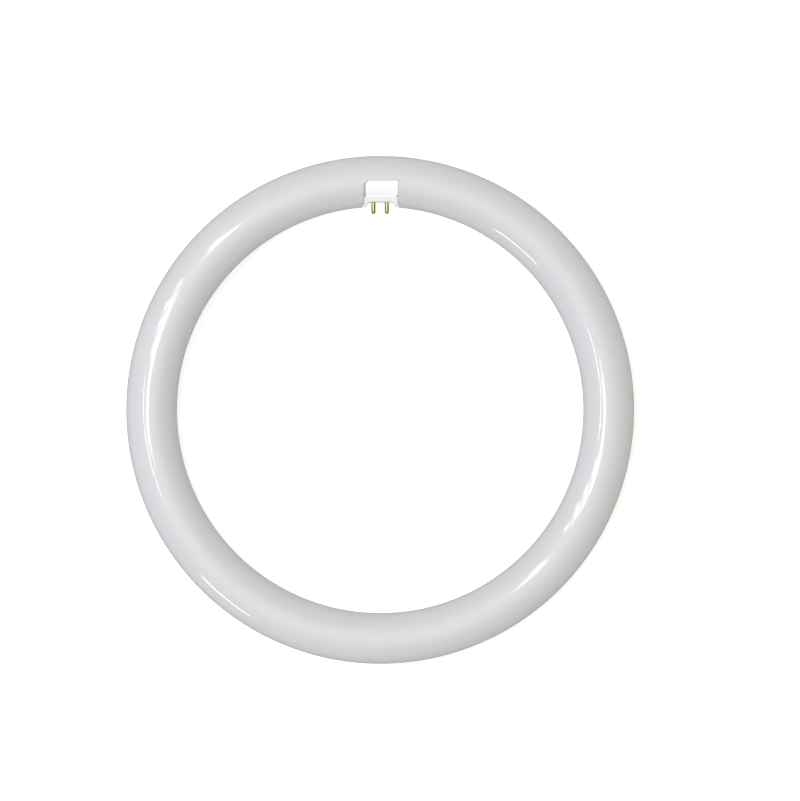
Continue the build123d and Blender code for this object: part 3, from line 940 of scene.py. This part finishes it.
class LEDTUBE_OT_screws(bpy.types.Operator):
    """Finishes the screws"""

    bl_idname = "ledtube.screws"
    bl_label = "Screws"

    def execute(self, context):
        base = context.scene.tube_colours.zinc
        zinc = metal("bright zinc", base, roughness=(0.22, 0.38), grain=3000)
        dress(["board_screws", "driver_screws"], zinc)
        return {"FINISHED"}


# Stage

LIGHT_DISTANCE = 8.0
FLOOR_SIZE = 60.0
FLOOR_GAP = 0.2 * MM  # between the tube and the paper
COOL_DIRECTION = (-0.99, -0.1, 0)
OVERHEAD_DIRECTION = (-0.22, 0.08, 0.97)

# The soft boxes whose reflections run along the tube. Each has its name, the x and y of the
# directions in which its two ends lie, its width in radians and its share of their brightness.
SOFT_BOXES = [
    ("window_low", ((-0.32, -0.06), (-0.32, 0.095)), 0.22, 1.0),
    ("window_1", ((-0.18, 0.06), (-0.57, 0.153)), 0.044, 1.0),
    ("window_2", ((-0.235, 0.115), (-0.64, 0.24)), 0.038, 1.0),
    ("window_3", ((-0.32, 0.18), (-0.68, 0.325)), 0.036, 1.0),
    ("window_4", ((-0.43, 0.268), (-0.61, 0.38)), 0.027, 1.0),
    ("thin_low", ((-0.42, -0.175), (-0.56, -0.06)), 0.033, 2.2),
    ("thin_high", ((-0.56, -0.06), (-0.64, 0.09)), 0.033, 2.2),
    ("small_low", ((-0.145, 0.145), (-0.39, 0.39)), 0.04, 1.0),
    ("small_high", ((-0.135, 0.162), (-0.27, 0.31)), 0.028, 1.0),
    ("horizon", ((-0.51, -0.803), (-0.703, -0.648)), 0.09, 1.95),
]


def strip_light(name, ends, width, radiance, tint):
    """A long soft box far away that lights the ring; radiance is its energy over 4 times its area."""
    first, last = [Vector((x, y, math.sqrt(1 - x * x - y * y))) for x, y in ends]
    middle = (first + last).normalized()
    along = (last - first).normalized()
    across = middle.cross(along)
    data = bpy.data.lights.new(name, "AREA")
    data.shape = "RECTANGLE"
    data.size = (last - first).length * LIGHT_DISTANCE
    data.size_y = width * LIGHT_DISTANCE
    data.color = tint
    data.energy = 4 * data.size * data.size_y * radiance
    light = bpy.data.objects.new(name, data)
    turn = Matrix((along, across, middle)).transposed().to_4x4()
    light.matrix_world = Matrix.Translation(middle * LIGHT_DISTANCE) @ turn
    light.visible_camera = False
    bpy.context.scene.collection.objects.link(light)


def studio_world(scene, settings):
    """Soft light from all round, strongest overhead; the camera sees a plain pale backdrop."""
    world = bpy.data.worlds.new("studio")
    scene.world = world
    world.use_nodes = True
    world.node_tree.nodes.clear()
    place = add_node(world, "ShaderNodeTexCoord").outputs["Generated"]

    def towards(direction):
        """1 in a direction, 0 across it and -1 away from it."""
        sockets = {0: place, 1: Vector(direction).normalized()}
        return add_node(world, "ShaderNodeVectorMath", sockets, operation="DOT_PRODUCT").outputs["Value"]

    def background(tint, strength):
        sockets = {"Color": tint, "Strength": strength}
        return add_node(world, "ShaderNodeBackground", sockets).outputs["Background"]

    side = add_node(world, "ShaderNodeMapRange", {"Value": towards(COOL_DIRECTION), "From Min": -1})
    tint = add_node(world, "ShaderNodeValToRGB", {"Fac": side.outputs["Result"]})
    warm, cool = tint.color_ramp.elements
    warm.color = (*settings.warm_side, 1)
    cool.color = (*settings.cool_side, 1)
    room = background(tint.outputs["Color"], settings.room_light)

    up = calculate(world, "MAXIMUM", towards(OVERHEAD_DIRECTION), 0)
    focused = calculate(world, "POWER", up, settings.overhead_focus)
    strength = calculate(world, "MULTIPLY", focused, settings.overhead_light)
    overhead = background(WHITE, strength)

    light = add_node(world, "ShaderNodeAddShader", {0: room, 1: overhead}).outputs["Shader"]
    backdrop = background((*settings.backdrop, 1), 1.0)
    to_camera = add_node(world, "ShaderNodeLightPath").outputs["Is Camera Ray"]
    seen = add_node(world, "ShaderNodeMixShader", {"Fac": to_camera, 1: light, 2: backdrop})
    add_node(world, "ShaderNodeOutputWorld", {"Surface": seen.outputs["Shader"]})


class LEDTUBE_OT_stage(bpy.types.Operator):
    """Sets the floor, the lights and the camera"""

    bl_idname = "ledtube.stage"
    bl_label = "Floor, lights and camera"

    def execute(self, context):
        scene = context.scene
        settings = scene.tube_studio
        scene.view_settings.view_transform = "Standard"
        deselect_all()
        bpy.ops.mesh.primitive_plane_add(size=FLOOR_SIZE, location=(0, 0, cad_bounds[0].z - FLOOR_GAP))
        floor = name_new("floor")
        tint = scene.tube_colours.floor
        paper = plastic("paper", tint, roughness=(0.8, 0.9), spread=0.004, grain=40, specular=0.1)
        shader = paper.node_tree.nodes["Principled BSDF"]
        shader.inputs["Emission Color"].default_value = WHITE
        shader.inputs["Emission Strength"].default_value = settings.floor_glow
        floor.data.materials.append(paper)
        floor.visible_glossy = False  # the covers mirror the room, not the paper

        for name, ends, width, share in SOFT_BOXES:
            strip_light(name, ends, width, settings.strips * share, settings.strip_tint)
        studio_world(scene, settings)

        camera_data = bpy.data.cameras.new("camera")
        camera_data.lens = settings.lens
        height = settings.view_height * camera_data.lens / camera_data.sensor_width
        camera_data.clip_end = 2 * height
        camera = bpy.data.objects.new("camera", camera_data)
        camera.location = (settings.view_right, settings.view_up, height)
        scene.collection.objects.link(camera)
        scene.camera = camera
        return {"FINISHED"}


# Panel and running


class LEDTUBE_PT_panel(bpy.types.Panel):
    """Lists the pieces in the order in which they are made"""

    bl_idname = "LEDTUBE_PT_panel"
    bl_label = "LED Tube"
    bl_space_type = "VIEW_3D"
    bl_region_type = "UI"
    bl_category = "LED Tube"

    def draw(self, context):
        for operator in operators:
            self.layout.operator(operator.bl_idname)


property_groups = [TubeSizes, TubeColours, TubeStudio]
operators = [
    LEDTUBE_OT_front_cover,
    LEDTUBE_OT_rear_cover,
    LEDTUBE_OT_base,
    LEDTUBE_OT_pins,
    LEDTUBE_OT_boards,
    LEDTUBE_OT_driver,
    LEDTUBE_OT_leads,
    LEDTUBE_OT_screws,
    LEDTUBE_OT_stage,
]


def register():
    for item in [*property_groups, *operators, LEDTUBE_PT_panel]:
        bpy.utils.register_class(item)
    bpy.types.Scene.tube_sizes = PointerProperty(type=TubeSizes)
    bpy.types.Scene.tube_colours = PointerProperty(type=TubeColours)
    bpy.types.Scene.tube_studio = PointerProperty(type=TubeStudio)


def unregister():
    del bpy.types.Scene.tube_studio
    del bpy.types.Scene.tube_colours
    del bpy.types.Scene.tube_sizes
    for item in reversed([*property_groups, *operators, LEDTUBE_PT_panel]):
        bpy.utils.unregister_class(item)


def main():
    register()
    for operator in operators:
        group, name = operator.bl_idname.split(".")
        getattr(getattr(bpy.ops, group), name)()


if __name__ == "__main__":
    main()
